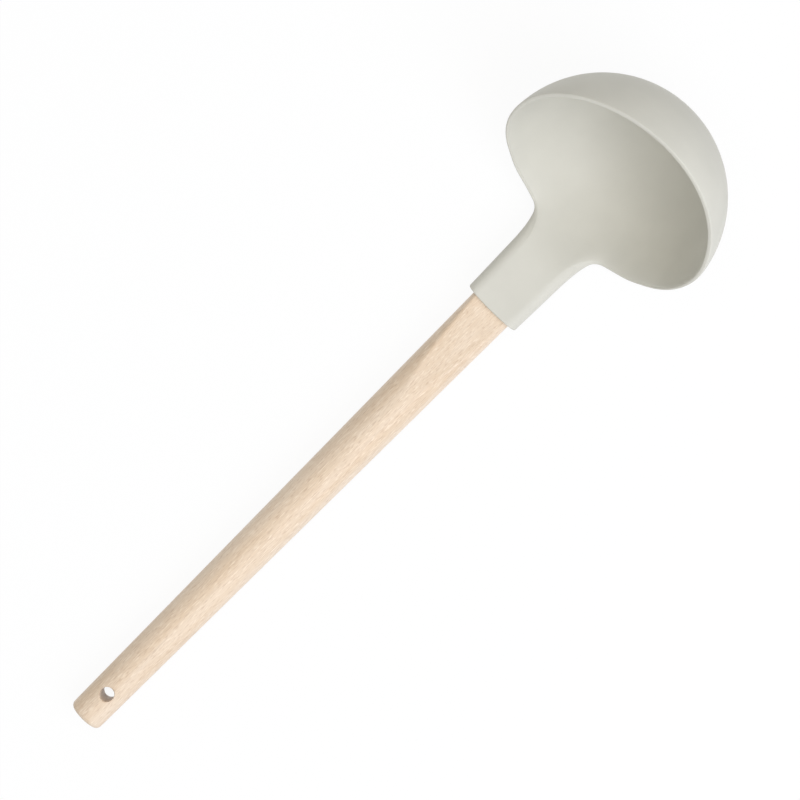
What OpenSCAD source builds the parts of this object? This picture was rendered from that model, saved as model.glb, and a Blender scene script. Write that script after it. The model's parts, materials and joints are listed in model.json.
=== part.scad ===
// Soup ladle: a silicone bowl, neck and collar moulded over a nylon core, on a tapered beech handle.
// Millimetres. The ladle lies on its back on z = 0 with the bowl open upwards and the handle along X.

/* [Bowl] */
// Outer diameter of the bowl at the rim
bowl_d = 90; // [80:1:100]
// Thickness of the bowl's wall, both skins and the core
bowl_wall = 2.8; // [2.6:0.1:3.6]
// Height of the ball's centre above the rim plane
bowl_rise = 1; // [0:0.25:2]
// Rounding of the rim's two edges
rim_round = 0.7; // [0.5:0.1:0.8]
// Thickness of the rim's edge
rim_t = 1.8; // [1.6:0.1:2.4]
// Length over which the wall thins to the rim's edge
rim_taper = 12; // [10:0.5:14]
// Angle between the rim plane and the handle's axis
rim_tilt = 47.2; // [44:0.2:50]
// Height above the handle's axis at which a level rim would cross it
rim_offset = 3.9; // [3:0.1:5]
// How far the rim dips where it runs into the neck
rim_dip = 7.1; // [6.2:0.1:8]
// How far round the rim, from the neck, the rim starts to dip
dip_start = 87; // [81:1:93]
// How far round the rim, from the neck, the dip is complete
dip_end = 29.5; // [27:0.5:34]

/* [Neck and collar] */
// Distance from the collar's mouth to where a level rim would cross the handle's axis
neck_reach = 31.1; // [29.7:0.1:32.7]
// Length of the straight collar
collar_length = 22; // [20:0.5:24]
// Width of the collar at the neck
neck_w = 24.4; // [23:0.2:27]
// Thickness of the collar at the neck
neck_t = 12.4; // [11.6:0.2:14]
// Width of the collar at its mouth
mouth_w = 23.4; // [22.6:0.2:26]
// Thickness of the collar at its mouth
mouth_t = 14.2; // [13.4:0.2:16]
// Rounding of the collar's long edges
collar_round = 4; // [3.4:0.2:4.6]
// How far the middle of the mouth stands out towards the handle
mouth_crown = 0.6; // [0:0.1:0.9]
// Easing of the mouth's edge
mouth_ease = 0.3; // [0.2:0.1:0.8]
// How far round the rim, from the neck, the rim starts to run into the neck
fillet_angle = 25; // [23.5:0.5:27.5]
// How far round the bowl the neck's width spreads
spread_angle = 5; // [4:0.5:9]
// How long the rim holds its direction on the way into the neck
rim_pull = 5; // [4:0.5:6]
// How long the neck holds its direction on the way into the rim
neck_pull = 16; // [14:0.5:17]
// Size of the smooth crest between the neck's front and the bowl's inside
crest_round = 12; // [8:0.5:13]
// Width of the flat part of the neck's front
crest_flat = 14; // [10:0.5:15]
// How fast the crest rises beside that flat part, per millimetre
crest_rise = 0.06; // [0.05:0.005:0.09]

/* [Nylon core] */
// Silicone skin over the core in the bowl
bowl_skin = 0.8; // [0.7:0.05:0.9]
// Silicone between the core's edge and the rim
rim_skin = 5; // [4:0.5:6.5]
// Silicone skin over the core at the neck
neck_skin = 2.2; // [2:0.1:2.4]
// Silicone skin over the core at the mouth
mouth_skin = 1.3; // [1:0.1:1.6]
// How much shorter the core's straight part is than the collar
core_setback = 3; // [2:0.5:4]
// Angle round the core's edge where it starts to run into its neck
core_fillet_angle = 19; // [18:0.5:20]
// How long the core's edge holds its direction
core_rim_pull = 5; // [4:0.5:6]
// How long the core's neck holds its direction
core_neck_pull = 16; // [14:0.5:17]

/* [Handle] */
// Length of the handle from its butt to the collar's mouth
handle_length = 216.5; // [180:0.5:260]
// Diameter at the butt
butt_d = 13.6; // [12:0.2:15.6]
// Diameter at the collar's mouth
handle_d = 17.7; // [16.6:0.1:18.4]
// Rounding of the butt's edge
butt_round = 2; // [1:0.25:3]
// Thickness left between the two planed flats at the mouth
flat_t = 8.6; // [7.8:0.2:9.4]
// Length of each planed flat
flat_length = 44; // [36:1:60]
// Diameter of the tenon in the core
tenon_d = 14.4; // [13:0.2:15.6]
// Thickness of the tenon between its two flats
tenon_t = 6.4; // [5.6:0.2:7]
// Length of the tenon
tenon_length = 13; // [9:0.5:13.5]
// Diameter of the hanging hole
hole_d = 5.5; // [4:0.25:6.5]
// Distance from the butt to the hole's axis
hole_inset = 13.5; // [10:0.5:20]
// Depth of the easing at the hole's two ends
hole_ease = 1; // [0.4:0.1:1.4]

/* [Fits] */
// Depth of the silicone lip round the handle in front of the core
lip_depth = 3; // [2:0.25:4]
// Clearance between the lip and the handle
lip_gap = 0.1; // [0.1:0.05:0.3]
// Clearance between the core and the silicone bonded to it
bond_gap = 0.05; // [0.05:0.01:0.1]
// Glue line between the tenon and its socket
glue_gap = 0.15; // [0.1:0.05:0.3]

/* [Hidden] */
$fn = 96;

// Steps along the rim, each fillet and the neck's width, and from the bowl's bottom to the edge
rim_steps = 40;
fillet_steps = 9;
neck_steps = 10;
rows = 13;
ball_rows = 6;
// Steps round each quarter of a rounded edge
round_steps = 3;
// Angle from the bowl's bottom at which the outside leaves the ball for the neck
leave_angle = 57;
// Largest share of a half thickness that an edge's rounding may take
round_share = 0.9;
// Least slope at which a ray still meets the plane of the neck's front
least_slope = 0.05;
// Turn either way over which the rim's direction is taken
small_turn = 0.01;
// Reach of a cut past the surface that it opens
past = 1;

across = [0, 1, 0];
along = [1, 0, 0];
up = [0, 0, 1];

// The rim plane: its direction away from the handle, its normal and the ball's centre
rim_dir = [cos(rim_tilt), 0, sin(rim_tilt)];
rim_normal = [-sin(rim_tilt), 0, cos(rim_tilt)];
near_rim = [neck_reach, 0, rim_offset];
ball_c = near_rim + (bowl_d - bowl_wall) / 2 * rim_dir + bowl_rise * rim_normal;
ball_r = norm([bowl_d / 2, bowl_rise]);
mid_r = ball_r - bowl_wall / 2;
inside_r = ball_r - bowl_wall;
neck_y = neck_w / 2 - collar_round;

function unit(v) = v / norm(v);
function mix(a, b, t) = a + (b - a) * t;
function ease(t) = t * t * (3 - 2 * t);
function along_plane(v, n) = unit(v - (v * n) * n);
function wrap(a) = a > 180 ? a - 360 : a < -180 ? a + 360 : a;
function smooth_max(a, b, k) =
    let (h = max(k - abs(a - b), 0) / k)
    max(a, b) + h * h * k / 4;

function bezier(a, b, c, d, t) =
    pow(1 - t, 3) * a + 3 * pow(1 - t, 2) * t * b + 3 * (1 - t) * t * t * c + pow(t, 3) * d;
function bezier_dir(a, b, c, d, t) =
    unit(pow(1 - t, 2) * (b - a) + 2 * (1 - t) * t * (c - b) + t * t * (d - c));

// A layer of the head: its outside, the cavity for the core, or the core's own surface.
// Each entry says how far the layer lies inside the outside, or where it differs from it.
outside = [0, 0, 0, 0, mouth_ease, mouth_crown, collar_length, fillet_angle, rim_pull, neck_pull];
cavity = core_layer(0);
core = core_layer(bond_gap);
function core_layer(gap) = [
    bowl_skin + gap, rim_skin + gap, neck_skin + gap, mouth_skin + gap, lip_depth + gap, 0,
    collar_length - core_setback, core_fillet_angle, core_rim_pull, core_neck_pull
];
function bowl_inset(layer) = layer[0];
function rim_inset(layer) = layer[1];
function neck_inset(layer) = layer[2];
function mouth_inset(layer) = layer[3];
function mouth_x(layer) = layer[4];
function crown(layer) = layer[5];
function neck_x(layer) = layer[6];
function fillet_start(layer) = layer[7];
function rim_hold(layer) = layer[8];
function neck_hold(layer) = layer[9];

// Directions from the ball's centre, by the angle from the bowl's bottom and the angle round it
function level(psi) = cos(psi) * rim_dir + sin(psi) * across;
function ray(theta, psi) = sin(theta) * level(psi) - cos(theta) * rim_normal;
function meridian(theta, psi) = cos(theta) * level(psi) + sin(theta) * rim_normal;

// Distance from the ball's centre to the bowl's inside, which runs over a crest into the neck's front
function front_reach(layer, dir) =
    let (
        ball = inside_r + bowl_inset(layer),
        beside = max(0, inside_r * abs(dir[1]) - crest_flat / 2),
        depth = ball_c[2] - neck_t / 2 + neck_inset(layer) - crest_rise * beside * beside
    )
    dir[0] >= 0 || -dir[2] < least_slope ? ball : smooth_max(ball, -depth / dir[2], crest_round);

// How much the wall has thinned on its inside, at a distance from the layer's rim
function thinning(layer, distance) =
    (bowl_wall - rim_t) * pow(max(0, 1 - (distance + rim_inset(layer)) / rim_taper), 2);

// The middle of the rim, which dips towards the neck: its rounding, its ray and its direction
function rim_rounding(layer) =
    min(rim_round, round_share * (bowl_wall / 2 - bowl_inset(layer) - thinning(layer, 0) / 2));
function dip(psi) =
    rim_dip * ease(min(1, max(0, (dip_start - 180 + abs(psi)) / (dip_start - dip_end))));
function rim_ray(layer, psi) =
    let (below = rim_inset(layer) + rim_rounding(layer) + dip(psi))
    ray(acos(bowl_rise / mid_r) - below / mid_r * 180 / PI, psi);
function rim_run(layer, psi) =
    unit(rim_ray(layer, psi + small_turn) - rim_ray(layer, psi - small_turn));

// The edge between front and back, as
// [front point, back point, outward direction, rounding, back normal, arrival direction, start angle,
// share of the rim's thinning]
function rim_edge(layer, psi) =
    let (
        half = bowl_wall / 2 - bowl_inset(layer),
        dir = rim_ray(layer, psi),
        out = cross(dir, rim_run(layer, psi))
    )
    [
        ball_c + (mid_r - half + thinning(layer, 0)) * dir, ball_c + (mid_r + half) * dir,
        out, rim_rounding(layer), -dir, out, psi, 1
    ];

function fillet_edge(layer, t, side) =
    let (
        psi = side * (180 - fillet_start(layer)),
        rim = rim_edge(layer, psi),
        run = side * rim_hold(layer) * rim_run(layer, psi),
        half = neck_t / 2 - neck_inset(layer),
        corner = [neck_x(layer), side * neck_y, half],
        low_corner = [neck_x(layer), side * neck_y, -half],
        hold = neck_hold(layer) * along,
        front = bezier(rim[0], rim[0] + run, corner + hold, corner, t),
        back = bezier(rim[1], rim[1] + run, low_corner + hold, low_corner, t),
        back_dir = bezier_dir(rim[1], rim[1] + run, low_corner + hold, low_corner, t),
        k = ease(t),
        out = unit(mix(rim[2], side * across, k)),
        normal = side * unit(cross(along_plane(out, unit(front - back)), back_dir))
    )
    [
        front, back, out, mix(rim[3], collar_round - neck_inset(layer), k), normal,
        mix(rim[2], unit(side * across - along), k),
        side * (180 - mix(fillet_start(layer), spread_angle, t)), 1 - k
    ];

function neck_edge(layer, share) =
    let (
        y = neck_y * share,
        half = neck_t / 2 - neck_inset(layer)
    )
    [
        [neck_x(layer), y, half], [neck_x(layer), y, -half], -along, 0, up,
        unit(share * across - along), 180 - spread_angle * share, 0
    ];

// All the way round: left fillet, rim, right fillet, then the neck's width back to the left
edged = 2 * fillet_steps + rim_steps + 1;
columns = edged + neck_steps - 1;
function edges(layer) =
    let (reach = 180 - fillet_start(layer))
    concat(
        [for (i = [fillet_steps : -1 : 1]) fillet_edge(layer, i / fillet_steps, -1)],
        [for (i = [0 : rim_steps]) rim_edge(layer, mix(-reach, reach, i / rim_steps))],
        [for (i = [1 : fillet_steps]) fillet_edge(layer, i / fillet_steps, 1)],
        [for (i = [1 : neck_steps - 1]) neck_edge(layer, 1 - 2 * i / neck_steps)]
    );

// Points from the bowl's bottom to the edge, on the inside
function front_column(layer, edge) =
    let (
        dir = unit(edge[0] - ball_c),
        theta = acos(-dir * rim_normal),
        turn = wrap(atan2(dir * across, dir * rim_dir) - edge[6]),
        length = theta * mid_r * PI / 180
    )
    [
        for (i = [1 : rows])
            let (d = ray(theta * i / rows, edge[6] + turn * ease(i / rows)))
            ball_c + (front_reach(layer, d) + edge[7] * thinning(layer, (1 - i / rows) * length)) * d
    ];

// Points from the bowl's bottom to the edge, on the outside: down the ball, then a blend to the edge
function back_column(layer, edge) =
    let (
        r = ball_r - bowl_inset(layer),
        leave = ball_c + r * ray(leave_angle, edge[6]),
        pull = norm(edge[1] - leave) / 3,
        from = leave + pull * meridian(leave_angle, edge[6]),
        to = edge[1] - pull * along_plane(edge[5], edge[4]),
        blend_rows = rows - ball_rows
    )
    concat(
        [for (i = [1 : ball_rows]) ball_c + r * ray(leave_angle * i / ball_rows, edge[6])],
        [for (i = [1 : blend_rows]) bezier(leave, from, to, edge[1], i / blend_rows)]
    );

// Points of a rounded edge from the front to the back, without its two ends
function edge_points(front, back, out, rounding) =
    let (
        half = norm(front - back) / 2,
        f = (front - back) / (2 * half),
        o = along_plane(out, f),
        r = min(rounding, round_share * half),
        turns = [for (i = [1 : round_steps]) 90 - 90 * i / round_steps],
        quarter = [for (a = turns) [half - r + r * sin(a), r * cos(a)]],
        last = round_steps - 1
    )
    concat(
        [for (q = quarter) (front + back) / 2 + f * q[0] + o * q[1]],
        [for (i = [last : -1 : 0]) (front + back) / 2 - f * quarter[i][0] + o * quarter[i][1]]
    );

// A loop round the collar's section: front right to left, left edge, back left to right, right edge
function loop_of(front, left, x, crown) =
    let (
        bow = function (y) crown * (1 - pow(2 * y / mouth_w, 2)),
        flip = function (list) [for (i = [len(list) - 1 : -1 : 0]) list[i]],
        section = concat(
            front,
            left,
            flip([for (p = front) [p[0], -p[1]]]),
            flip([for (p = left) [-p[0], p[1]]])
        )
    )
    [for (p = section) [x - bow(p[0]), p[0], p[1]]];

function collar_loop(inset, x, crown) =
    let (
        y = mouth_w / 2 - collar_round,
        z = mouth_t / 2 - inset,
        side = edge_points([0, -y, z], [0, -y, -z], -across, collar_round - inset)
    )
    loop_of(
        [for (i = [0 : neck_steps]) [y - 2 * y * i / neck_steps, z]],
        [for (p = side) [p[1], p[2]]],
        x,
        crown
    );

// A round bar with two flats, as the handle has at the mouth and on its tenon
function bar_loop(d, t, gap, x, crown = 0) =
    let (
        r = d / 2 + gap,
        z = t / 2 + gap,
        y = sqrt(r * r - z * z),
        turn = asin(z / r),
        count = 2 * round_steps
    )
    loop_of(
        [for (i = [0 : neck_steps]) [y - 2 * y * i / neck_steps, z]],
        [for (i = [1 : count]) let (a = turn - 2 * turn * i / (count + 1)) [-r * cos(a), r * sin(a)]],
        x,
        crown
    );

// The points of a layer: two poles, the columns inside and outside, the edge, and the collar's mouth
function layer_points(layer) =
    let (
        edge = edges(layer),
        front = [for (e = edge) front_column(layer, e)],
        back = [for (e = edge) back_column(layer, e)],
        last = rows - 1
    )
    concat(
        [ball_c - (inside_r + bowl_inset(layer)) * rim_normal],
        [ball_c - (ball_r - bowl_inset(layer)) * rim_normal],
        [for (column = front) each column],
        [for (column = back) each column],
        [
            for (i = [0 : edged - 1])
                each edge_points(front[i][last], back[i][last], edge[i][2], edge[i][3])
        ],
        collar_loop(mouth_inset(layer), mouth_x(layer), crown(layer))
    );

rim_points = 2 * round_steps;
back_start = 2 + columns * rows;
edge_start = back_start + columns * rows;
loop_start = edge_start + edged * rim_points;
loop_count = 2 * (neck_steps + 1) + 2 * rim_points;
layer_count = loop_start + loop_count;

function front_at(i, row) = 2 + (i % columns) * rows + row;
function back_at(i, row) = back_start + (i % columns) * rows + row;
function edge_at(i, k) =
    k == 0 ? front_at(i, rows - 1)
    : k > rim_points ? back_at(i, rows - 1)
    : edge_start + i * rim_points + k - 1;

function quad(a, b, c, d) = [[a, b, c], [a, c, d]];
function turned(faces) = [for (f = faces) [f[2], f[1], f[0]]];
function shifted(faces, by) = [for (f = faces) [f[0] + by, f[1] + by, f[2] + by]];
// A strip of faces from one closed loop to the next
function strip(from, to) =
    let (n = len(from))
    [for (i = [0 : n - 1]) each quad(from[i], from[(i + 1) % n], to[(i + 1) % n], to[i])];
function run_of(start) = [for (i = [0 : loop_count - 1]) start + i];

// The loop where the neck's columns and edges meet the collar
neck_loop = concat(
    [for (i = [edged - 1 : columns]) front_at(i, rows - 1)],
    [for (k = [1 : rim_points]) edge_at(0, k)],
    [for (i = [columns : -1 : edged - 1]) back_at(i, rows - 1)],
    [for (k = [rim_points : -1 : 1]) edge_at(edged - 1, k)]
);
layer_faces = concat(
    [for (i = [0 : columns - 1]) [0, front_at(i + 1, 0), front_at(i, 0)]],
    [for (i = [0 : columns - 1]) [1, back_at(i, 0), back_at(i + 1, 0)]],
    [
        for (i = [0 : columns - 1], row = [0 : rows - 2])
            each quad(front_at(i, row), front_at(i + 1, row), front_at(i + 1, row + 1), front_at(i, row + 1))
    ],
    [
        for (i = [0 : columns - 1], row = [0 : rows - 2])
            each quad(back_at(i, row), back_at(i, row + 1), back_at(i + 1, row + 1), back_at(i + 1, row))
    ],
    [
        for (i = [0 : edged - 2], k = [0 : rim_points])
            each quad(edge_at(i, k), edge_at(i + 1, k), edge_at(i + 1, k + 1), edge_at(i, k + 1))
    ],
    strip(neck_loop, run_of(loop_start))
);

outside_points = layer_points(outside);

// At rest the ball and either the butt or the low end of the back flat touch the table
function handle_r(x) = mix(handle_d, butt_d, -x / handle_length) / 2;
touches = [
    [butt_round - handle_length, -butt_d / 2],
    [-flat_length, -handle_r(-flat_length)]
];
function rest_angle(p) =
    let (to = [ball_c[0] - p[0], ball_c[2] - p[1]])
    atan2(to[1], to[0]) - asin(ball_r / norm(to));
rest_tilt = max([for (p = touches) rest_angle(p)]);
function rest_x(p) = p[0] * cos(rest_tilt) + p[2] * sin(rest_tilt);
function rest_z(p) = p[2] * cos(rest_tilt) - p[0] * sin(rest_tilt);
butt_side = butt_d / 2 - butt_round;
butt_x = rest_x([butt_round - handle_length, 0, 0]) - butt_side * abs(sin(rest_tilt)) - butt_round;
rim_x = max([for (p = outside_points) rest_x(p)]);
rest_shift = [-(butt_x + rim_x) / 2, 0, ball_r - rest_z(ball_c)];

module at_rest() {
    translate(rest_shift)
        rotate([0, rest_tilt, 0])
            children();
}

// A bar of the handle along X from x = 0
module bar(d, length) {
    rotate([0, 90, 0])
        cylinder(d = d, h = length);
}

// The silicone moulding: outside, mouth with its lip round the handle, and the cavity for the core
module silicone_head() {
    points = concat(
        outside_points,
        collar_loop(mouth_ease, 0, mouth_crown),
        bar_loop(handle_d, flat_t, lip_gap, 0, mouth_crown),
        bar_loop(handle_d, flat_t, lip_gap, lip_depth),
        layer_points(cavity)
    );
    mouth = run_of(layer_count);
    lip = run_of(layer_count + loop_count);
    lip_end = run_of(layer_count + 2 * loop_count);
    inner = layer_count + 3 * loop_count;
    faces = concat(
        layer_faces,
        strip(run_of(loop_start), mouth),
        strip(mouth, lip),
        strip(lip, lip_end),
        strip(lip_end, run_of(inner + loop_start)),
        turned(shifted(layer_faces, inner))
    );
    color([0.84, 0.83, 0.79])
        at_rest()
            polyhedron(points, faces);
}

// The hidden stiffener: a thin bowl shell, a solid neck and a socket for the handle's tenon
module nylon_core() {
    socket_end = lip_depth + tenon_length + glue_gap;
    points = concat(
        layer_points(core),
        bar_loop(tenon_d, tenon_t, glue_gap, mouth_x(core)),
        bar_loop(tenon_d, tenon_t, glue_gap, socket_end),
        [[socket_end, 0, 0]]
    );
    socket = run_of(layer_count);
    floor_loop = run_of(layer_count + loop_count);
    middle = layer_count + 2 * loop_count;
    faces = concat(
        layer_faces,
        strip(run_of(loop_start), socket),
        strip(socket, floor_loop),
        [for (i = [0 : loop_count - 1]) [middle, floor_loop[i], floor_loop[(i + 1) % loop_count]]]
    );
    color([0.25, 0.25, 0.27])
        at_rest()
            polyhedron(points, faces);
}

// Profile of the round handle from the axis outwards, with its butt at the bottom
module handle_profile() {
    polygon([
        [0, -handle_length],
        [butt_side, -handle_length],
        [butt_side, butt_round - handle_length],
        [butt_d / 2, butt_round - handle_length],
        [handle_d / 2, 0],
        [handle_d / 2, lip_depth],
        [0, lip_depth]
    ]);
    translate([butt_side, butt_round - handle_length])
        circle(r = butt_round);
}

// What the plane takes off the front: a long slope up to the mouth, then a level cut inside the lip
module flat_cut() {
    tip_r = handle_r(-flat_length);
    slope = atan((tip_r - flat_t / 2) / flat_length);
    translate([0, -handle_d, flat_t / 2])
        rotate([0, slope, 0])
            translate([-2 * flat_length, 0, 0])
                cube([2 * flat_length, 2 * handle_d, handle_d]);
    translate([0, -handle_d, flat_t / 2])
        cube([lip_depth + past, 2 * handle_d, handle_d]);
}

// The hanging hole, eased at both ends
module hanging_hole() {
    surface_r = handle_r(hole_inset - handle_length);
    translate([hole_inset - handle_length, 0, 0]) {
        cylinder(d = hole_d, h = 2 * (surface_r + past), center = true);
        for (side = [0, 1])
            mirror([0, 0, side])
                translate([0, 0, surface_r - hole_ease])
                    cylinder(r1 = hole_d / 2, r2 = hole_d / 2 + 2 * hole_ease, h = 2 * hole_ease);
    }
}

module beech_handle() {
    color([0.90, 0.79, 0.65])
        at_rest() {
            difference() {
                rotate([0, 90, 0])
                    rotate_extrude()
                        handle_profile();
                for (side = [0, 1])
                    mirror([0, 0, side])
                        flat_cut();
                hanging_hole();
            }
            intersection() {
                bar(tenon_d, lip_depth + tenon_length);
                translate([0, -tenon_d, -tenon_t / 2])
                    cube([lip_depth + tenon_length, 2 * tenon_d, tenon_t]);
            }
        }
}

silicone_head();
nylon_core();
beech_handle();
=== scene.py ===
"""Soup ladle: a pale silicone bowl on a beech handle, lying on its back on a white table."""

import json
from collections import namedtuple
from math import asin, atan2, cos, hypot, pi, radians, sin, sqrt

import bmesh
import bpy
import numpy as np
from mathutils import Matrix, Vector


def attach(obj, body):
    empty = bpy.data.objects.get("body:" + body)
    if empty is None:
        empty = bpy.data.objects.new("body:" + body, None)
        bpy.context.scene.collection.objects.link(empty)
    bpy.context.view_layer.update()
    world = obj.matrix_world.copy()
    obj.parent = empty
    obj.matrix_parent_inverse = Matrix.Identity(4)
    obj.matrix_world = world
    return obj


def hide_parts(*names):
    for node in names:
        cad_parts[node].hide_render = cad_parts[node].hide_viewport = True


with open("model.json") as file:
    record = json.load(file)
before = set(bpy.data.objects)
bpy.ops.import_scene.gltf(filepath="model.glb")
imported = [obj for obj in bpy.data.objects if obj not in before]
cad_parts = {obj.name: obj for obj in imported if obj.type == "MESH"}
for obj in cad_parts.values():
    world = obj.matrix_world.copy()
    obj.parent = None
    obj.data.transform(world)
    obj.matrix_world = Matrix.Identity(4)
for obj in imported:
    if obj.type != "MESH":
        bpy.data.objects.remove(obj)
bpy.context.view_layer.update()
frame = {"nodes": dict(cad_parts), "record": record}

MM = 0.001
IMAGE = 800  # pixels, the photograph's side

# The head's driving sizes, in millimetres, and its angles, as in the CAD model unless noted
BOWL_D = 90.0
BOWL_WALL = 2.8
BOWL_RISE = 1.0
RIM_ROUND = 0.5  # tighter than the CAD model's
RIM_T = 1.8
RIM_TAPER = 12.0
RIM_TILT = radians(47.2)
RIM_OFFSET = 3.9
RIM_DIP = 7.1
DIP_START = radians(87)
DIP_END = radians(29.5)
NECK_REACH = 31.1
COLLAR_LENGTH = 22.0
NECK_W = 24.4
NECK_T = 12.4
MOUTH_W = 23.4
MOUTH_T = 14.2
COLLAR_ROUND = 4.0
MOUTH_CROWN = 0.6
MOUTH_EASE = 0.3
FILLET_ANGLE = radians(25)
SPREAD_ANGLE = radians(5)
RIM_PULL = 5.0
NECK_PULL = 16.0
CREST_ROUND = 12.0
CREST_FLAT = 14.0
CREST_RISE = 0.06

# The cavity for the core: the silicone over it, and its own fillets, as in the CAD model
BOWL_SKIN = 0.8
RIM_SKIN = 5.0
NECK_SKIN = 2.2
MOUTH_SKIN = 1.3
CORE_SETBACK = 3.0
CORE_FILLET_ANGLE = radians(19)
CORE_RIM_PULL = 5.0
CORE_NECK_PULL = 16.0

# How unevenly the soft rim sits, in millimetres, which the CAD model leaves out
RIM_WARP = 1.6  # up on the far rim's +Y side, and down on its -Y side
WARP_PEAK = radians(45)
WARP_END = radians(110)
# Where it leans towards +Y, and where it sags: the angle round the bowl, how far, and half the width
RIM_LEANS = ((radians(-103), 1.2, radians(24)),)
RIM_SAGS = (
    (radians(-155), 0.7, radians(16)),
    (radians(-116), 1.6, radians(32)),
    (radians(15), 0.3, radians(60)),
    (radians(138), -0.5, radians(14)),
)
LEAN_DEPTH = 10.0  # how far below the rim the lean begins
# How the rim's inner edge rolls over towards the neck
ROLL_DEPTH = 0.9
ROLL_LENGTH = 6.0
ROLL_START = radians(58)
ROLL_FULL = radians(122)

# The handle's driving sizes, in millimetres, as in the CAD model unless noted
HANDLE_LENGTH = 216.5
BUTT_D = 13.6
HANDLE_D = 17.7
BUTT_ROUND = 2.0
FLAT_T = 8.6
FLAT_LENGTH = 44.0
FLAT_SOFT = 0.4  # how far the sanded edge of a flat is drawn out, sharp in the CAD model
TENON_D = 14.4
TENON_T = 6.4
TENON_LENGTH = 13.0
HOLE_D = 5.5
HOLE_INSET = 13.5
HOLE_EASE = 0.8  # rounded, where the CAD model has a chamfer
LIP_DEPTH = 3.0
LIP_GAP = 0.1

# How finely the head is drawn
RIM_STEPS = 120
FILLET_STEPS = 18
NECK_STEPS = 20
ROWS = 32
ROLL_ROWS = 3  # of these, drawn finer where the rim's inner edge rolls over
FINE_ROWS = 10
BALL_ROWS = 14
ROUND_STEPS = 5
LEAVE_ANGLE = radians(57)  # from the bowl's bottom to where its outside leaves the ball
ROUND_SHARE = 0.9  # the most of half its thickness that an edge is rounded by
LEAST_SLOPE = 0.05  # of a ray that runs down to the neck
SMALL_TURN = radians(0.01)

# How finely the handle is drawn
AROUND = 160
BODY_STEP = 2.0
BUTT_STEPS = 8
HOLE_AROUND = 64
HOLE_STEPS = 6
SHARP = radians(35)  # faces that meet at more than this keep a crease

# The camera, from the photograph: where the collar's mouth is, its scale there and how the ladle lies
MOUTH_PX = (492.57, 307.52)
PX_PER_MM = 2.724
CAMERA_DISTANCE = 2000.0  # mm from the mouth
AXIS_ANGLE = radians(45.08)  # of the handle in the picture, from the horizontal
AXIS_RISE = radians(7.54)  # of the bowl's end towards the camera
AXIS_TWIST = radians(0.20)  # of the front face about the handle
SENSOR = 36.0  # mm
CLIP = (0.1, 20.0)  # metres

# Noise per metre along each axis. A ramp below is two pairs of a noise value and the grey it gives
Noise = namedtuple("Noise", "scale detail rough distort", defaults=(2.0, 0.5, 0.0))

# The silicone: colour, faint mottle and the fine tooth of its mould
SILICONE = (0.620, 0.609, 0.541)
SILICONE_IOR = 1.41
MOTTLE = Noise((60, 60, 60), detail=3.0)
MOTTLE_RAMP = ((0.30, 0.95), (0.70, 1.0))
TOOTH = Noise((2500, 2500, 2500))
SILICONE_ROUGH = (0.50, 0.62)
SILICONE_BUMP = (0.00005, 0.25)  # metres deep, and strength

# The beech: streaks and fine grain along the handle, dark flecks and pale glints
BEECH_PALE = (0.812, 0.672, 0.522)
BEECH_WARM = (0.750, 0.586, 0.420)
BEECH_FLECK = (0.430, 0.270, 0.160)
BEECH_GLINT = (0.960, 0.840, 0.690)
STREAK = Noise((9, 170, 170), detail=4.0, rough=0.55, distort=0.25)
STREAK_RAMP = ((0.36, 0.0), (0.64, 1.0))
WIDE = Noise((4, 60, 60))
WIDE_RAMP = ((0.30, 0.93), (0.70, 1.0))
FINE = Noise((60, 2200, 2200), detail=3.0, rough=0.6)
FINE_RAMP = ((0.35, 0.94), (0.62, 1.0))
FLECK = Noise((340, 3000, 3000), detail=1.5)
FLECK_RAMP = ((0.55, 0.0), (0.68, 0.38))
GLINT = Noise((300, 2700, 2700), detail=1.5)
GLINT_RAMP = ((0.56, 0.0), (0.68, 0.42))
BEECH_ROUGH = (0.36, 0.50)
BEECH_BUMP = (0.00006, 0.35)

# The hidden core's nylon
NYLON = (0.050, 0.050, 0.055)
NYLON_PALE = (0.070, 0.070, 0.077)
NYLON_TOOTH = Noise((1800, 1800, 1800))
NYLON_RAMP = ((0.3, 0.0), (0.7, 1.0))
NYLON_ROUGH = (0.45, 0.60)
NYLON_BUMP = (0.00005, 0.3)

# The table, in metres from its middle, and how much of it is plain white for the camera
FLOOR = (0.90, 0.90, 0.90)
FLOOR_REACH = 4.0
FLOOR_ROUGH = 0.9
FLOOR_WHITE = 0.93
WHITE = (1.0, 1.0, 1.0)

# The light: a soft studio all round, and square lamps, aimed as right, up and towards the camera
SKY = (0.985, 0.990, 1.000)
SKY_STRENGTH = 0.51
Lamp = namedtuple("Lamp", "name aim watts colour")
LAMPS = (
    Lamp("key", (0.45, -0.45, 0.77), 15.5, (0.950, 0.985, 1.090)),
    Lamp("top", (0, 0, 1), 6.2, (1.060, 0.990, 0.870)),
)
LAMP_DISTANCE = 1.6
LAMP_SIZE = 1.2

ALONG = np.array([1.0, 0.0, 0.0])
ACROSS = np.array([0.0, 1.0, 0.0])
UP = np.array([0.0, 0.0, 1.0])

# The rim plane and the ball that the bowl is part of
RIM_DIR = np.array([cos(RIM_TILT), 0, sin(RIM_TILT)])
RIM_NORMAL = np.array([-sin(RIM_TILT), 0, cos(RIM_TILT)])
NEAR_RIM = np.array([NECK_REACH, 0, RIM_OFFSET])
BALL_C = NEAR_RIM + (BOWL_D - BOWL_WALL) / 2 * RIM_DIR + BOWL_RISE * RIM_NORMAL
BALL_R = hypot(BOWL_D / 2, BOWL_RISE)
MID_R = BALL_R - BOWL_WALL / 2
INSIDE_R = BALL_R - BOWL_WALL
NECK_Y = NECK_W / 2 - COLLAR_ROUND

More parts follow.
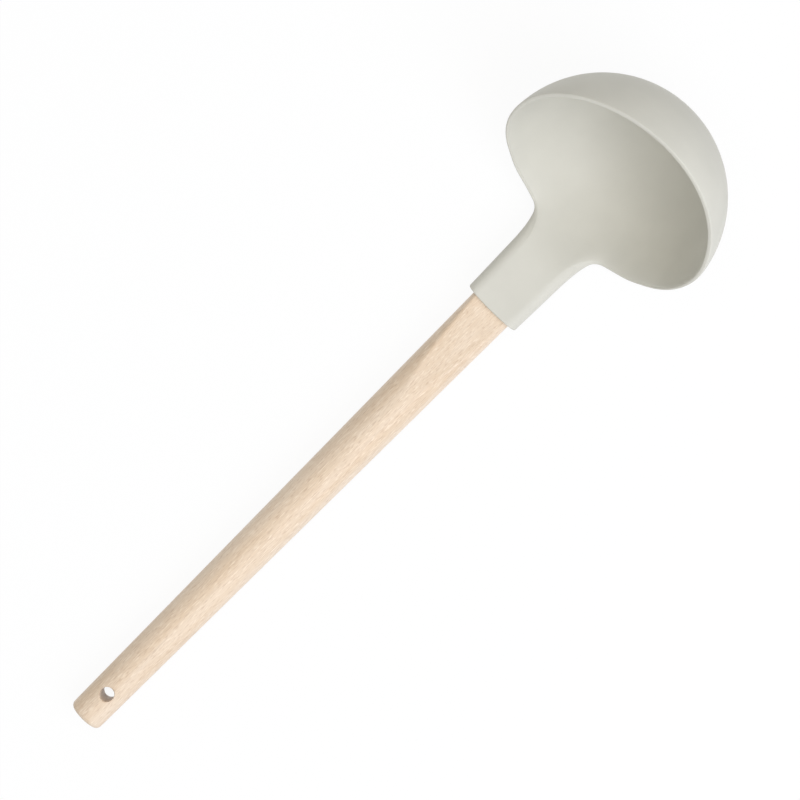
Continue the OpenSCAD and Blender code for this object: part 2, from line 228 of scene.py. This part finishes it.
# A layer of the head: how far inside the head's outside it lies, and where it goes its own way
Layer = namedtuple(
    "Layer",
    "bowl_inset rim_inset neck_inset mouth_inset mouth_x crown neck_x"
    " fillet rim_pull neck_pull warp leans sags",
)
OUTSIDE = Layer(
    bowl_inset=0,
    rim_inset=0,
    neck_inset=0,
    mouth_inset=0,
    mouth_x=MOUTH_EASE,
    crown=MOUTH_CROWN,
    neck_x=COLLAR_LENGTH,
    fillet=FILLET_ANGLE,
    rim_pull=RIM_PULL,
    neck_pull=NECK_PULL,
    warp=RIM_WARP,
    leans=RIM_LEANS,
    sags=RIM_SAGS,
)
CAVITY = Layer(
    bowl_inset=BOWL_SKIN,
    rim_inset=RIM_SKIN,
    neck_inset=NECK_SKIN,
    mouth_inset=MOUTH_SKIN,
    mouth_x=LIP_DEPTH,
    crown=0,
    neck_x=COLLAR_LENGTH - CORE_SETBACK,
    fillet=CORE_FILLET_ANGLE,
    rim_pull=CORE_RIM_PULL,
    neck_pull=CORE_NECK_PULL,
    warp=0,
    leans=(),
    sags=(),
)

# The edge between a layer's front and back, one row for each column of points
Edge = namedtuple("Edge", "front back out rounding normal arrival start thinned rolled")


def unit(v):
    return v / np.linalg.norm(v, axis=-1, keepdims=True)


def dot(a, b):
    return np.sum(a * b, axis=-1, keepdims=True)


def mix(a, b, t):
    return a + (b - a) * t


def ease(t):
    return t * t * (3 - 2 * t)


def along_plane(v, n):
    """The direction of v along the plane that n stands on."""
    return unit(v - dot(v, n) * n)


def smooth_max(a, b, k):
    """The larger of two values, with a blend where they differ by less than k."""
    h = np.maximum(k - abs(a - b), 0) / k
    return np.maximum(a, b) + h * h * k / 4


def bezier(a, b, c, d, t):
    s = 1 - t
    return s**3 * a + 3 * s * s * t * b + 3 * s * t * t * c + t**3 * d


def bezier_dir(a, b, c, d, t):
    s = 1 - t
    return unit(s * s * (b - a) + 2 * s * t * (c - b) + t * t * (d - c))


def level(psi):
    """Directions in the rim's plane, by the angle round the bowl from its far side."""
    return np.cos(psi)[..., None] * RIM_DIR + np.sin(psi)[..., None] * ACROSS


def ray(theta, psi):
    """Directions from the ball's centre, by the angle from the bowl's bottom and the angle round it."""
    return np.sin(theta)[..., None] * level(psi) - np.cos(theta)[..., None] * RIM_NORMAL


def meridian(theta, psi):
    """Directions along the ball, away from the bowl's bottom."""
    return np.cos(theta)[..., None] * level(psi) + np.sin(theta)[..., None] * RIM_NORMAL


def front_reach(layer, d):
    """Distance from the ball's centre to the bowl's inside, which runs over a crest into the neck."""
    ball = INSIDE_R + layer.bowl_inset
    beside = np.maximum(0, INSIDE_R * abs(d[..., 1]) - CREST_FLAT / 2)
    depth = BALL_C[2] - NECK_T / 2 + layer.neck_inset - CREST_RISE * beside**2
    slope = np.maximum(-d[..., 2], LEAST_SLOPE)
    crest = smooth_max(ball, depth / slope, CREST_ROUND)
    return np.where((d[..., 0] >= 0) | (-d[..., 2] < LEAST_SLOPE), ball, crest)


def thinning(layer, left):
    """How much the wall has thinned on its inside, at a distance left to the layer's rim."""
    near = np.maximum(0, 1 - (left + layer.rim_inset) / RIM_TAPER)
    return (BOWL_WALL - RIM_T) * near**2


def rim_rounding(layer):
    half = BOWL_WALL / 2 - layer.bowl_inset - thinning(layer, 0) / 2
    return min(RIM_ROUND, ROUND_SHARE * half)


def warp_share(psi):
    """How much of its warp the rim has, from -1 to 1, by the angle round it."""
    up = np.sin(pi / 2 * np.minimum(abs(psi) / WARP_PEAK, 1))
    down = ease(np.clip((abs(psi) - WARP_PEAK) / (WARP_END - WARP_PEAK), 0, 1))
    return np.sign(psi) * (up - down)


def swell(places, psi):
    """What the listed places add up to at an angle round the bowl."""
    total = 0 * psi
    for at, most, width in places:
        total = total + most * ease(np.maximum(0, 1 - abs(psi - at) / width))
    return total


def lean(layer, psi, left):
    """Sideways shift of the wall, by the angle round the bowl and the distance left to the rim."""
    near = np.maximum(0, 1 - left / LEAN_DEPTH)
    return (swell(layer.leans, psi)[:, None] * near**2)[..., None] * ACROSS


def roll_share(psi):
    """How much of its roll the rim's inner edge has, from 0 to 1, by the angle round it."""
    return ease(np.clip((abs(psi) - ROLL_START) / (ROLL_FULL - ROLL_START), 0, 1))


def rolled_off(layer, left):
    """How far the inside has rolled over where the roll is full, at a distance left to the rim."""
    near = np.maximum(0, 1 - (left + layer.rim_inset) / ROLL_LENGTH)
    return ROLL_DEPTH * (1 - np.sqrt(1 - near**2))


def rim_ray(layer, psi):
    """Rays to the middle of the rim, which dips towards the neck."""
    share = np.clip((DIP_START - pi + abs(psi)) / (DIP_START - DIP_END), 0, 1)
    below = layer.rim_inset + rim_rounding(layer) + RIM_DIP * ease(share)
    below += swell(layer.sags, psi) - layer.warp * warp_share(psi)
    return ray(np.arccos(BOWL_RISE / MID_R) - below / MID_R, psi)


def rim_run(layer, psi):
    """Directions along the rim."""
    return unit(rim_ray(layer, psi + SMALL_TURN) - rim_ray(layer, psi - SMALL_TURN))


def rim_edge(layer, psi):
    """The edge along the rim, by the angle round it."""
    half = BOWL_WALL / 2 - layer.bowl_inset
    d = rim_ray(layer, psi)
    out = np.cross(d, rim_run(layer, psi))
    rolled = roll_share(psi)
    inside = MID_R - half + thinning(layer, 0) + rolled * rolled_off(layer, 0)
    front, back = BALL_C + inside[:, None] * d, BALL_C + (MID_R + half) * d
    rounding = np.full(len(psi), rim_rounding(layer))
    return Edge(front, back, out, rounding, -d, out, psi, np.ones(len(psi)), rolled)


def fillet_edge(layer, t, side):
    """The edge from the rim, where t is 0, to the neck, on the +Y side or, with side -1, the -Y side."""
    psi = np.array([side * (pi - layer.fillet)])
    rim = rim_edge(layer, psi)
    run = side * layer.rim_pull * rim_run(layer, psi)
    half = NECK_T / 2 - layer.neck_inset
    corner = np.array([layer.neck_x, side * NECK_Y, half])
    low_corner = np.array([layer.neck_x, side * NECK_Y, -half])
    hold = layer.neck_pull * ALONG
    t = t[:, None]
    k = ease(t)
    front = bezier(rim.front, rim.front + run, corner + hold, corner, t)
    low = (rim.back, rim.back + run, low_corner + hold, low_corner)
    back = bezier(*low, t)
    out = unit(mix(rim.out, side * ACROSS, k))
    normal = side * unit(np.cross(along_plane(out, unit(front - back)), bezier_dir(*low, t)))
    rounding = mix(rim.rounding, COLLAR_ROUND - layer.neck_inset, k[:, 0])
    arrival = mix(rim.out, unit(side * ACROSS - ALONG), k)
    start = side * (pi - mix(layer.fillet, SPREAD_ANGLE, t[:, 0]))
    left = 1 - k[:, 0]
    return Edge(front, back, out, rounding, normal, arrival, start, left, left * rim.rolled)


def neck_edge(layer, share):
    """Where the head meets the collar, by the share of its width from -1 to 1."""
    n = len(share)
    half = NECK_T / 2 - layer.neck_inset
    middle = np.outer(np.ones(n), layer.neck_x * ALONG) + np.outer(share, NECK_Y * ACROSS)
    out, normal = np.tile(-ALONG, (n, 1)), np.tile(UP, (n, 1))
    arrival = unit(np.outer(share, ACROSS) - ALONG)
    start = pi - SPREAD_ANGLE * share
    none = np.zeros(n)
    return Edge(middle + half * UP, middle - half * UP, out, none, normal, arrival, start, none, none)


def edges(layer):
    """All the way round: -Y fillet, rim, +Y fillet, then across the neck back to -Y."""
    reach = pi - layer.fillet
    t = np.arange(1, FILLET_STEPS + 1) / FILLET_STEPS
    parts = [
        fillet_edge(layer, t[::-1], -1),
        rim_edge(layer, np.linspace(-reach, reach, RIM_STEPS + 1)),
        fillet_edge(layer, t, 1),
        neck_edge(layer, 1 - 2 * np.arange(1, NECK_STEPS) / NECK_STEPS),
    ]
    return Edge(*[np.concatenate(field) for field in zip(*parts)])


def front_columns(layer, edge):
    """Points from the bowl's bottom to the edge, on the inside."""
    d = unit(edge.front - BALL_C)
    theta = np.arccos(-d @ RIM_NORMAL)
    turn = np.arctan2(d @ ACROSS, d @ RIM_DIR) - edge.start
    turn = (turn + pi) % (2 * pi) - pi
    even = np.arange(1, ROWS - ROLL_ROWS + 1)
    fine = ROWS - ROLL_ROWS * (1 - np.sin(pi / 2 * np.arange(1, FINE_ROWS + 1) / FINE_ROWS))
    share = np.concatenate([even, fine]) / ROWS
    rays = ray(np.outer(theta, share), edge.start[:, None] + np.outer(turn, ease(share)))
    left = np.outer(theta * MID_R, 1 - share)
    reach = front_reach(layer, rays) + edge.thinned[:, None] * thinning(layer, left)
    reach += edge.rolled[:, None] * rolled_off(layer, left)
    return BALL_C + reach[..., None] * rays + lean(layer, edge.start, left)


def back_columns(layer, edge):
    """Points from the bowl's bottom to the edge, on the outside: up the ball, then a blend to the edge."""
    r = BALL_R - layer.bowl_inset
    angles = LEAVE_ANGLE * np.arange(1, BALL_ROWS + 1) / BALL_ROWS
    start = edge.start[:, None]
    ball = BALL_C + r * ray(np.tile(angles, (len(start), 1)), np.repeat(start, BALL_ROWS, 1))
    leave = ball[:, -1:]
    last = edge.back[:, None]
    pull = np.linalg.norm(last - leave, axis=-1, keepdims=True) / 3
    to = last - pull * along_plane(edge.arrival, edge.normal)[:, None]
    begin = leave + pull * meridian(np.full_like(start, LEAVE_ANGLE), start)
    t = (np.arange(1, ROWS - BALL_ROWS + 1) / (ROWS - BALL_ROWS))[None, :, None]
    points = np.concatenate([ball, bezier(leave, begin, to, last, t)], axis=1)
    return points + lean(layer, edge.start, np.linalg.norm(last - points, axis=-1))


def edge_points(front, back, out, rounding):
    """Points of rounded edges from the front to the back, without their two ends."""
    half = np.linalg.norm(front - back, axis=-1, keepdims=True) / 2
    f = (front - back) / (2 * half)
    o = along_plane(out, f)
    r = np.minimum(np.asarray(rounding, float).reshape(-1, 1), ROUND_SHARE * half)
    middle = (front + back) / 2
    turns = [pi / 2 * (1 - i / ROUND_STEPS) for i in range(1, ROUND_STEPS + 1)]
    upper = [middle + f * (half - r + r * sin(a)) + o * r * cos(a) for a in turns]
    lower = [middle - f * (half - r + r * sin(a)) + o * r * cos(a) for a in turns[::-1]]
    return np.stack(upper + lower, axis=1)


def front_row(y, z):
    """A section's front, from y to -y."""
    return [(y - 2 * y * i / NECK_STEPS, z) for i in range(NECK_STEPS + 1)]


def section_loop(front, side, x, crown):
    """A loop round the collar's section: front, -Y side, back, +Y side."""
    turned_front = [(y, -z) for y, z in front[::-1]]
    turned_side = [(-y, z) for y, z in side[::-1]]
    section = front + side + turned_front + turned_side
    return np.array([(x - crown * (1 - (2 * y / MOUTH_W) ** 2), y, z) for y, z in section])


def collar_loop(inset, x, crown):
    """A loop round the collar at its mouth, or that far inside it."""
    y = MOUTH_W / 2 - COLLAR_ROUND
    z = MOUTH_T / 2 - inset
    top, low = np.array([[0, -y, z]]), np.array([[0, -y, -z]])
    side = edge_points(top, low, -ACROSS[None], COLLAR_ROUND - inset)[0]
    return section_loop(front_row(y, z), [(p[1], p[2]) for p in side], x, crown)


def lip_loop(x, crown):
    """A loop round the mouth's lip, which fits a round bar with two flats, as the handle is there."""
    r, z = HANDLE_D / 2 + LIP_GAP, FLAT_T / 2 + LIP_GAP
    y = sqrt(r * r - z * z)
    turn = asin(z / r)
    count = 2 * ROUND_STEPS
    angles = [turn - 2 * turn * i / (count + 1) for i in range(1, count + 1)]
    return section_loop(front_row(y, z), [(-r * cos(a), r * sin(a)) for a in angles], x, crown)


class Shell:
    """Points and faces of a mesh as it is put together."""

    def __init__(self):
        self.points, self.faces = [], []

    def add(self, points):
        """Indices of new points, in the points' own arrangement."""
        points = np.asarray(points, float)
        first = len(self.points)
        self.points.extend(points.reshape(-1, 3).tolist())
        return first + np.arange(points.size // 3).reshape(points.shape[:-1])

    def grid(self, rows, flip=False):
        """Faces between neighbouring rows of indices."""
        for a, b in zip(rows[:-1], rows[1:]):
            for i in range(len(a) - 1):
                quad = [int(a[i]), int(a[i + 1]), int(b[i + 1]), int(b[i])]
                self.faces.append(quad[::-1] if flip else quad)

    def strips(self, loops, flip=False):
        """Faces between neighbouring closed loops."""
        for a, b in zip(loops[:-1], loops[1:]):
            self.grid([np.append(a, a[0]), np.append(b, b[0])], flip)

    def fan(self, loop, middle, flip=False):
        """Faces from a closed loop to the point in its middle."""
        ends = np.append(loop, loop[0])
        for a, b in zip(ends[:-1], ends[1:]):
            face = [int(a), int(b), int(middle)]
            self.faces.append(face[::-1] if flip else face)

    def bar(self, sections, middles, flip=False):
        """A closed bar through the sections, with the middles of its two ends."""
        loops = [self.add(section) for section in sections]
        first, last = self.add(middles)
        self.strips(loops, flip)
        self.fan(loops[0], first, not flip)
        self.fan(loops[-1], last, flip)


def add_layer(shell, layer, inward):
    """One surface of the head, open only at the collar's mouth. Returns the mouth's loop."""
    edge = edges(layer)
    front, back = front_columns(layer, edge), back_columns(layer, edge)
    edged = 2 * FILLET_STEPS + RIM_STEPS + 1
    rounded = edge_points(
        front[:edged, -1], back[:edged, -1], edge.out[:edged], edge.rounding[:edged]
    )
    f, b, e = shell.add(front), shell.add(back), shell.add(rounded)
    closed_f, closed_b = np.vstack([f, f[:1]]), np.vstack([b, b[:1]])
    shell.grid(closed_f, flip=not inward)
    shell.grid(closed_b, flip=inward)
    depths = (INSIDE_R + layer.bowl_inset, BALL_R - layer.bowl_inset)
    inner_pole, outer_pole = shell.add([BALL_C - depth * RIM_NORMAL for depth in depths])
    shell.fan(f[:, 0], inner_pole, flip=inward)
    shell.fan(b[:, 0], outer_pole, flip=not inward)
    ribbon = np.column_stack([f[:edged, -1], e, b[:edged, -1]])
    shell.grid(ribbon, flip=not inward)
    neck_f, neck_b = closed_f[edged - 1 :, -1], closed_b[edged - 1 :, -1]
    neck = np.concatenate([neck_f, e[0], neck_b[::-1], e[edged - 1][::-1]])
    mouth = shell.add(collar_loop(layer.mouth_inset, layer.mouth_x, layer.crown))
    shell.strips([neck, mouth], flip=not inward)
    return mouth


def head_shell():
    """The silicone moulding: outside, mouth with its lip round the handle, and the core's cavity."""
    shell = Shell()
    outer = add_layer(shell, OUTSIDE, inward=False)
    inner = add_layer(shell, CAVITY, inward=True)
    eased = shell.add(collar_loop(MOUTH_EASE, 0, MOUTH_CROWN))
    lip = shell.add(lip_loop(0, MOUTH_CROWN))
    lip_end = shell.add(lip_loop(LIP_DEPTH, 0))
    shell.strips([outer, eased, lip, lip_end, inner], flip=True)
    return shell


def handle_r(x):
    return mix(HANDLE_D, BUTT_D, -x / HANDLE_LENGTH) / 2


def flat_half(x):
    """Half the thickness between the planed flats, or more than the bar's radius where it is round."""
    tip_r = handle_r(-FLAT_LENGTH)
    return FLAT_T / 2 + (tip_r - FLAT_T / 2) * max(0.0, -x) / FLAT_LENGTH


def bar_section(x, r, half):
    """A loop round the bar at x: a circle of radius r between two flats, with soft edges."""
    angles = 2 * pi * (np.arange(AROUND) + 0.5) / AROUND
    reach = -smooth_max(-r, -half / abs(np.sin(angles)), FLAT_SOFT)
    return np.column_stack([np.full(AROUND, x), reach * np.cos(angles), reach * np.sin(angles)])


def butt_sections():
    """The rounded butt, from its end."""
    sections = []
    for i in range(BUTT_STEPS, -1, -1):
        a = pi / 2 * i / BUTT_STEPS
        x = BUTT_ROUND * (1 - sin(a)) - HANDLE_LENGTH
        r = BUTT_D / 2 - BUTT_ROUND + BUTT_ROUND * cos(a)
        sections.append(bar_section(x, r, flat_half(x)))
    return sections


def body_sections():
    """The tapered bar with its two planed flats, from the butt to the collar's mouth."""
    body = HANDLE_LENGTH - BUTT_ROUND
    count = round(body / BODY_STEP)
    places = [-body * (1 - i / count) for i in range(1, count + 1)]
    return [bar_section(x, handle_r(x), flat_half(x)) for x in places]


def handle_shell():
    """The beech handle: rounded butt, tapered bar and tenon."""
    end = LIP_DEPTH + TENON_LENGTH
    tenon = [
        bar_section(LIP_DEPTH, HANDLE_D / 2, FLAT_T / 2),
        bar_section(LIP_DEPTH, TENON_D / 2, TENON_T / 2),
        bar_section(end, TENON_D / 2, TENON_T / 2),
    ]
    shell = Shell()
    shell.bar(butt_sections() + body_sections() + tenon, [(-HANDLE_LENGTH, 0, 0), (end, 0, 0)])
    return shell


def hole_shell():
    """What is drilled out of the handle: a bore with rounded ends."""
    x = HOLE_INSET - HANDLE_LENGTH
    top = handle_r(x)
    profile = [(HOLE_D / 2 + 2 * HOLE_EASE, top + HOLE_EASE)]
    for i in range(HOLE_STEPS + 1):
        a = pi / 2 * i / HOLE_STEPS
        profile.append((HOLE_D / 2 + HOLE_EASE * (1 - sin(a)), top - HOLE_EASE * (1 - cos(a))))
    profile += [(r, -z) for r, z in profile[::-1]]
    angles = 2 * pi * np.arange(HOLE_AROUND) / HOLE_AROUND
    round_x, round_y = np.cos(angles), np.sin(angles)
    sections = [
        np.column_stack([x + r * round_x, r * round_y, np.full(HOLE_AROUND, z)]) for r, z in profile
    ]
    shell = Shell()
    shell.bar(sections, [(x, 0, profile[0][1]), (x, 0, profile[-1][1])], flip=True)
    return shell


def handle_frame():
    """From millimetres about the collar's mouth, X towards the bowl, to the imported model's metres."""
    mount = frame["record"]["mounts"][0]
    tilt = atan2(mount["axis"][0], mount["axis"][2])
    turn = Matrix.Rotation(tilt, 4, "Y")
    reach = turn @ Vector((HANDLE_LENGTH - HOLE_INSET, 0, 0)) * MM
    return Matrix.Translation(Vector(mount["pos_m"]) + reach) @ turn @ Matrix.Scale(MM, 4)


def add_object(name, data):
    item = bpy.data.objects.new(name, data)
    bpy.context.scene.collection.objects.link(item)
    return item


def mesh_object(name, shell, place):
    mesh = bpy.data.meshes.new(name)
    mesh.from_pydata(shell.points, [], shell.faces)
    mesh.transform(place)
    mesh.validate()
    return add_object(name, mesh)


def drill(piece, cutter):
    """Takes the cutter out of the piece, and removes the cutter."""
    hole = piece.modifiers.new("hole", "BOOLEAN")
    hole.object, hole.solver = cutter, "EXACT"
    bpy.context.view_layer.objects.active = piece
    bpy.ops.object.modifier_apply(modifier=hole.name)
    bpy.data.objects.remove(cutter)


def smooth(piece):
    """Smooth shading, with creases where faces meet at more than the sharp angle."""
    shape = bmesh.new()
    shape.from_mesh(piece.data)
    bmesh.ops.recalc_face_normals(shape, faces=shape.faces)
    shape.to_mesh(piece.data)
    shape.free()
    piece.data.shade_smooth()
    piece.data.set_sharp_from_angle(angle=SHARP)


class Paint:
    """A node material with one Principled shader."""

    def __init__(self, name):
        self.material = bpy.data.materials.new(name)
        self.material.use_nodes = True
        self.nodes = self.material.node_tree.nodes
        self.shader = self.nodes["Principled BSDF"]
        self.place = self.nodes.new("ShaderNodeTexCoord").outputs["Object"]

    def link(self, out, into):
        self.material.node_tree.links.new(out, into)

    def scaled(self, scale):
        """Object coordinates, in metres, times a scale along each axis."""
        node = self.nodes.new("ShaderNodeMapping")
        node.inputs["Scale"].default_value = scale
        self.link(self.place, node.inputs["Vector"])
        return node.outputs["Vector"]

    def noise(self, noise):
        node = self.nodes.new("ShaderNodeTexNoise")
        node.inputs["Scale"].default_value = 1.0
        node.inputs["Detail"].default_value = noise.detail
        node.inputs["Roughness"].default_value = noise.rough
        node.inputs["Distortion"].default_value = noise.distort
        self.link(self.scaled(noise.scale), node.inputs["Vector"])
        return node.outputs["Fac"]

    def ramp(self, value, stops):
        """A ramp between two greys, each a pair of its place and its grey."""
        node = self.nodes.new("ShaderNodeValToRGB")
        for element, (at, grey) in zip(node.color_ramp.elements, stops):
            element.position = at
            element.color = (grey, grey, grey, 1)
        self.link(value, node.inputs["Fac"])
        return node.outputs["Color"]

    def blend(self, share, a, b, mode="MIX"):
        """Two colours, each a triple or a socket, mixed by a share that is a number or a socket."""
        node = self.nodes.new("ShaderNodeMix")
        node.data_type, node.blend_type = "RGBA", mode
        colours = [socket for socket in node.inputs if socket.type == "RGBA"]
        for socket, value in zip((node.inputs[0], *colours), (share, a, b)):
            if isinstance(value, bpy.types.NodeSocket):
                self.link(value, socket)
            else:
                socket.default_value = (*value, 1) if isinstance(value, tuple) else value
        return next(socket for socket in node.outputs if socket.type == "RGBA")

    def between(self, value, low, high):
        """A value from 0 to 1 spread over the range from low to high."""
        node = self.nodes.new("ShaderNodeMapRange")
        node.inputs["To Min"].default_value, node.inputs["To Max"].default_value = low, high
        self.link(value, node.inputs["Value"])
        return node.outputs["Result"]

    def bump(self, value, depth, strength):
        node = self.nodes.new("ShaderNodeBump")
        node.inputs["Distance"].default_value = depth
        node.inputs["Strength"].default_value = strength
        self.link(value, node.inputs["Height"])
        return node.outputs["Normal"]

    def surface(self, colour, texture, rough, bump):
        """The shader's colour, and its roughness and relief, which follow one texture."""
        self.link(colour, self.shader.inputs["Base Color"])
        self.link(self.between(texture, *rough), self.shader.inputs["Roughness"])
        self.link(self.bump(texture, *bump), self.shader.inputs["Normal"])
        return self.material


def silicone_paint():
    """Matte pigmented silicone: a faint mottle, and the fine tooth of its mould."""
    paint = Paint("silicone")
    tone = paint.ramp(paint.noise(MOTTLE), MOTTLE_RAMP)
    colour = paint.blend(1.0, SILICONE, tone, "MULTIPLY")
    paint.shader.inputs["IOR"].default_value = SILICONE_IOR
    return paint.surface(colour, paint.noise(TOOTH), SILICONE_ROUGH, SILICONE_BUMP)


def beech_paint():
    """Steamed beech: soft streaks along the grain, short dark flecks and pale glints."""
    paint = Paint("beech")
    fine = paint.noise(FINE)
    colour = paint.blend(paint.ramp(paint.noise(STREAK), STREAK_RAMP), BEECH_WARM, BEECH_PALE)
    for value, stops in ((paint.noise(WIDE), WIDE_RAMP), (fine, FINE_RAMP)):
        colour = paint.blend(1.0, colour, paint.ramp(value, stops), "MULTIPLY")
    for noise, stops, mark in ((FLECK, FLECK_RAMP, BEECH_FLECK), (GLINT, GLINT_RAMP, BEECH_GLINT)):
        colour = paint.blend(paint.ramp(paint.noise(noise), stops), colour, mark)
    return paint.surface(colour, fine, BEECH_ROUGH, BEECH_BUMP)


def nylon_paint():
    """The hidden core: plain moulded nylon with a spark-eroded texture."""
    paint = Paint("nylon")
    tooth = paint.noise(NYLON_TOOTH)
    colour = paint.blend(paint.ramp(tooth, NYLON_RAMP), NYLON, NYLON_PALE)
    return paint.surface(colour, tooth, NYLON_ROUGH, NYLON_BUMP)


def dress(piece, node, material):
    """The piece stands for a CAD node, which it hides, and is given the material."""
    piece.data.materials.append(material)
    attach(piece, "root")
    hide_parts(node)


def build_ladle(place):
    """The head and the handle, drawn anew, and the CAD model's own core, painted."""
    head = mesh_object("head_skin", head_shell(), place)
    smooth(head)
    dress(head, "silicone_head", silicone_paint())
    handle = mesh_object("handle_wood", handle_shell(), place)
    drill(handle, mesh_object("drill", hole_shell(), place))
    smooth(handle)
    dress(handle, "beech_handle", beech_paint())
    core = frame["nodes"]["nylon_core"]
    core.data.materials.clear()
    core.data.materials.append(nylon_paint())


def seen_axes():
    """Turns the camera's axes, right, up and towards the camera, into the ladle's own."""
    ahead = Vector((cos(AXIS_ANGLE), sin(AXIS_ANGLE), 0))
    aside = Vector((sin(AXIS_ANGLE), -cos(AXIS_ANGLE), 0))
    near = Vector((0, 0, 1))
    along = cos(AXIS_RISE) * ahead + sin(AXIS_RISE) * near
    flat = cos(AXIS_RISE) * near - sin(AXIS_RISE) * ahead
    front = cos(AXIS_TWIST) * flat + sin(AXIS_TWIST) * aside
    side = cos(AXIS_TWIST) * aside - sin(AXIS_TWIST) * flat
    return Matrix((along, -side, front))


def add_camera(place):
    """Looks along the photograph's line of sight, so that the collar's mouth falls on its pixel."""
    seen = seen_axes()
    right, up = MOUTH_PX[0] - IMAGE / 2, IMAGE / 2 - MOUTH_PX[1]
    stand = Vector((-right / PX_PER_MM, -up / PX_PER_MM, CAMERA_DISTANCE))
    axes = place.to_3x3().normalized() @ seen
    lens = bpy.data.cameras.new("camera")
    lens.sensor_width = SENSOR
    lens.lens = SENSOR * PX_PER_MM * CAMERA_DISTANCE / IMAGE
    lens.clip_start, lens.clip_end = CLIP
    camera = add_object("camera", lens)
    camera.matrix_world = Matrix.Translation(place @ (seen @ stand)) @ axes.to_4x4()
    bpy.context.scene.camera = camera
    return axes


def add_lamp(lamp, axes):
    """A soft square lamp that shines at the ladle's middle."""
    data = bpy.data.lights.new(lamp.name, "AREA")
    data.size, data.energy, data.color = LAMP_SIZE, lamp.watts, lamp.colour
    aim = (axes @ Vector(lamp.aim)).normalized()
    item = add_object(lamp.name, data)
    item.location = aim * LAMP_DISTANCE
    item.rotation_euler = aim.to_track_quat("Z", "Y").to_euler()


def seen_share(tree):
    """1 for what the camera sees, also in a reflection or through glass, and 0 for what only lights."""
    path = tree.nodes.new("ShaderNodeLightPath")
    seen = path.outputs["Is Camera Ray"]
    for other in ("Is Glossy Ray", "Is Transmission Ray"):
        either = tree.nodes.new("ShaderNodeMath")
        either.operation = "MAXIMUM"
        tree.links.new(seen, either.inputs[0])
        tree.links.new(path.outputs[other], either.inputs[1])
        seen = either.outputs["Value"]
    return seen


def mix_shaders(tree, share, lit, white, output):
    """The lit shader, and the white one by its share."""
    both = tree.nodes.new("ShaderNodeMixShader")
    tree.links.new(share, both.inputs["Fac"])
    tree.links.new(lit, both.inputs[1])
    tree.links.new(white, both.inputs[2])
    tree.links.new(both.outputs["Shader"], tree.nodes[output].inputs["Surface"])


def floor_paint():
    """Lit as it is for the object, and mostly plain white for the camera."""
    material = bpy.data.materials.new("floor")
    material.use_nodes = True
    tree = material.node_tree
    lit = tree.nodes["Principled BSDF"]
    lit.inputs["Base Color"].default_value = (*FLOOR, 1)
    lit.inputs["Roughness"].default_value = FLOOR_ROUGH
    white = tree.nodes.new("ShaderNodeEmission")
    white.inputs["Color"].default_value = (*WHITE, 1)
    share = tree.nodes.new("ShaderNodeMath")
    share.operation = "MULTIPLY"
    share.inputs[1].default_value = FLOOR_WHITE
    tree.links.new(seen_share(tree), share.inputs[0])
    mix_shaders(
        tree, share.outputs["Value"], lit.outputs["BSDF"], white.outputs["Emission"], "Material Output"
    )
    return material


def add_floor():
    """A plain white table."""
    far = FLOOR_REACH
    mesh = bpy.data.meshes.new("floor")
    corners = [(-far, -far, 0), (far, -far, 0), (far, far, 0), (-far, far, 0)]
    mesh.from_pydata(corners, [], [(0, 1, 2, 3)])
    mesh.materials.append(floor_paint())
    floor = add_object("floor", mesh)


def add_sky():
    """A studio that lights softly from all round, and is plain white for the camera."""
    world = bpy.data.worlds.new("studio")
    world.use_nodes = True
    tree = world.node_tree
    sky = tree.nodes["Background"]
    sky.inputs["Color"].default_value = (*SKY, 1)
    sky.inputs["Strength"].default_value = SKY_STRENGTH
    white = tree.nodes.new("ShaderNodeBackground")
    white.inputs["Color"].default_value = (*WHITE, 1)
    lit, plain = sky.outputs["Background"], white.outputs["Background"]
    mix_shaders(tree, seen_share(tree), lit, plain, "World Output")
    bpy.context.scene.world = world


place = handle_frame()
build_ladle(place)
add_floor()
axes = add_camera(place)
add_sky()
for lamp in LAMPS:
    add_lamp(lamp, axes)
bpy.context.scene.view_settings.view_transform = "Standard"
